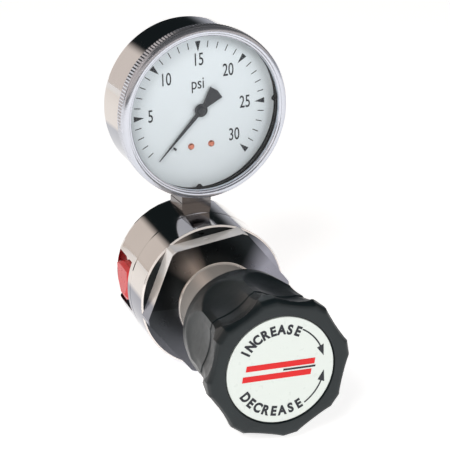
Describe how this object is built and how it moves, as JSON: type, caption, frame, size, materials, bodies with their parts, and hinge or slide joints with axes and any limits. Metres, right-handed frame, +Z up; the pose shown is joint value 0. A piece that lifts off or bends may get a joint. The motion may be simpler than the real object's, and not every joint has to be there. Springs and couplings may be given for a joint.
{
  "type": "carbon dioxide regulator",
  "caption": "Diaphragm gas pressure regulator: chromed body with threaded ports, lobed adjusting knob on a wrench-flat bonnet, and a dial gauge standing on top.",
  "frame": {"origin": "centre of the body's flat rear face", "axes": "+Z up through the gauge stem, +Y out of the rear face along the knob's axis, so the knob points along -Y, +X out of the open inlet port"},
  "size_m": [0.0681, 0.1152, 0.1326],
  "materials": {
    "body_chrome": "chrome plate over machined brass, turned rear and side",
    "bonnet_chrome": "chrome plate, turned front face, polished neck",
    "neck_chrome": "polished chrome plate",
    "brass": "machined",
    "rubber": "matt",
    "ptfe": "matt white",
    "steel": "turned",
    "spring_steel": "drawn wire",
    "sintered_bronze": "porous",
    "plug_red": "moulded polyethylene",
    "knob_black": "satin moulded plastic",
    "label_white": "printed foil",
    "gauge_chrome": "bright chrome",
    "stem_chrome": "plated brass bar",
    "lens_clear": "clear polycarbonate",
    "dial_white": "satin white paint, black print",
    "screw_copper": "coppered",
    "pointer_black": "satin black",
    "tube_bronze": "drawn tube"
  },
  "bodies": {
    "root": {"body": "body_chrome", "bonnet": "bonnet_chrome", "spring_housing": "neck_chrome", "bonnet_bushing": "brass", "diaphragm": "rubber", "slip_ring": "ptfe", "valve_capsule": "brass", "capsule_oring": "rubber", "valve_spring": "spring_steel", "inlet_filter": "sintered_bronze", "range_spring": "spring_steel", "gauge_socket": "stem_chrome", "gauge_case": "gauge_chrome", "case_screws": "steel", "gauge_bezel": "gauge_chrome", "gauge_lens": "lens_clear", "lens_gasket": "rubber", "gauge_dial": "dial_white", "dial_screws": "screw_copper", "stop_pin": "pointer_black", "movement_plates": "brass", "movement_posts": "brass", "hairspring": "tube_bronze", "bourdon_tube": "tube_bronze", "bourdon_tip": "brass"},
    "spring_button": {"spring_button": "steel"},
    "knob": {"adjusting_knob": "knob_black", "knob_insert": "brass", "adjusting_screw": "steel", "knob_label": "label_white"},
    "diaphragm_plate": {"diaphragm_plate": "steel"},
    "poppet": {"valve_poppet": "brass", "seat_disc": "ptfe"},
    "port_plug": {"port_plug": "plug_red"},
    "pointer": {"gauge_pointer": "pointer_black", "pinion_shaft": "brass"},
    "sector": {"sector_gear": "brass"},
    "link": {"movement_link": "brass"}
  },
  "joints": [
    {"name": "knob_turn", "type": "hinge", "parent": "spring_button", "child": "knob", "pos_m": [0, -0.09, 0], "axis": [0, 1, 0], "range_deg": [0, 1800]},
    {"name": "screw_advance", "type": "slide", "parent": "root", "child": "spring_button", "axis": [0, 1, 0], "range_m": [0, 0.0075], "deforming": ["range_spring"]},
    {"name": "diaphragm_travel", "type": "slide", "parent": "root", "child": "diaphragm_plate", "axis": [0, 1, 0], "range_m": [0, 0.0008], "stiffness_N_per_m": 2000, "springref_m": -0.0005, "deforming": ["diaphragm"]},
    {"name": "poppet_travel", "type": "slide", "parent": "root", "child": "poppet", "axis": [0, 1, 0], "range_m": [0, 0.0008], "deforming": ["valve_spring"]},
    {"name": "plug_pull", "type": "slide", "parent": "root", "child": "port_plug", "axis": [-1, 0, 0], "range_m": [0, 0.012]},
    {"name": "pointer_turn", "type": "hinge", "parent": "root", "child": "pointer", "pos_m": [0.00071, -0.02397, 0.0696], "axis": [-0.0715, 0.9974, 0], "range_deg": [0, 270], "stiffness_Nm_per_rad": 0.00001, "springref_deg": -17.19, "deforming": ["hairspring"]},
    {"name": "sector_swing", "type": "hinge", "parent": "root", "child": "sector", "pos_m": [0.00089, -0.01895, 0.05641], "axis": [-0.0715, 0.9974, 0], "range_deg": [-27, 0]},
    {"name": "link_pull", "type": "slide", "parent": "root", "child": "link", "axis": [0.9054, 0.0649, 0.4196], "range_m": [0, 0.00257]}
  ],
  "couplings": [
    {"joint": "screw_advance", "follows": "knob_turn", "m_per_rad": 0.00023873},
    {"joint": "poppet_travel", "follows": "diaphragm_travel", "ratio": 1},
    {"joint": "sector_swing", "follows": "pointer_turn", "ratio": -0.1},
    {"joint": "link_pull", "follows": "pointer_turn", "m_per_rad": 0.00054493}
  ]
}
